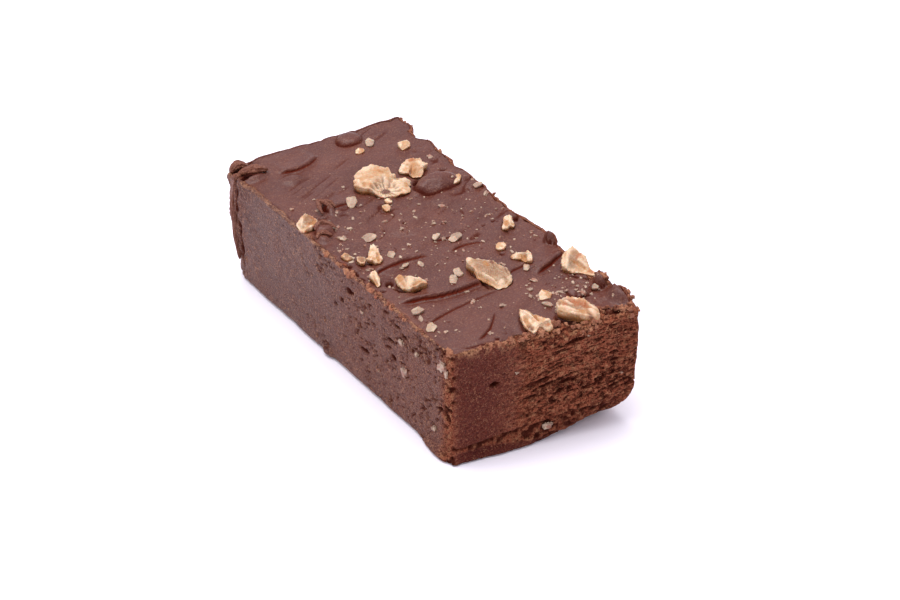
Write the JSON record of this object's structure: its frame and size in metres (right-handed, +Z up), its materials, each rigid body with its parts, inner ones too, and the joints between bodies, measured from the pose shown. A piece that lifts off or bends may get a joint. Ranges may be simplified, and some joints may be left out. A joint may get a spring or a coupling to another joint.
{
  "type": "chocolate fudge",
  "caption": "Hand-cut bar of chocolate fudge topped with walnut pieces and crumbs, with torn cut sides and a knife-spread top.",
  "frame": {"origin": "centre of the bar's footprint box, on the surface that it lies on", "axes": "+Y along the bar's length, from the cut end that faces the viewer to the far end; +Z up, with the walnut pieces on top; +X to the right of a viewer at the near end"},
  "size_m": [0.0516, 0.1088, 0.0335],
  "materials": {
    "chocolate_fudge": "cooked chocolate fudge: satin knife-spread top, matt crumbly cut sides",
    "walnut": "broken walnut kernel, cream with golden to brown skin, slightly oily"
  },
  "bodies": {
    "root": {"fudge_bar": "chocolate_fudge", "walnut_fan": "walnut", "walnut_behind_fan": "walnut", "walnut_left_edge": "walnut", "walnut_crag": "walnut", "walnut_blade": "walnut", "walnut_chip": "walnut", "walnut_wedge": "walnut", "walnut_long": "walnut", "walnut_triangle": "walnut", "walnut_right_edge": "walnut", "walnut_spear": "walnut", "walnut_knob": "walnut", "walnut_right_blade": "walnut", "walnut_left_blade": "walnut"}
  },
  "joints": []
}
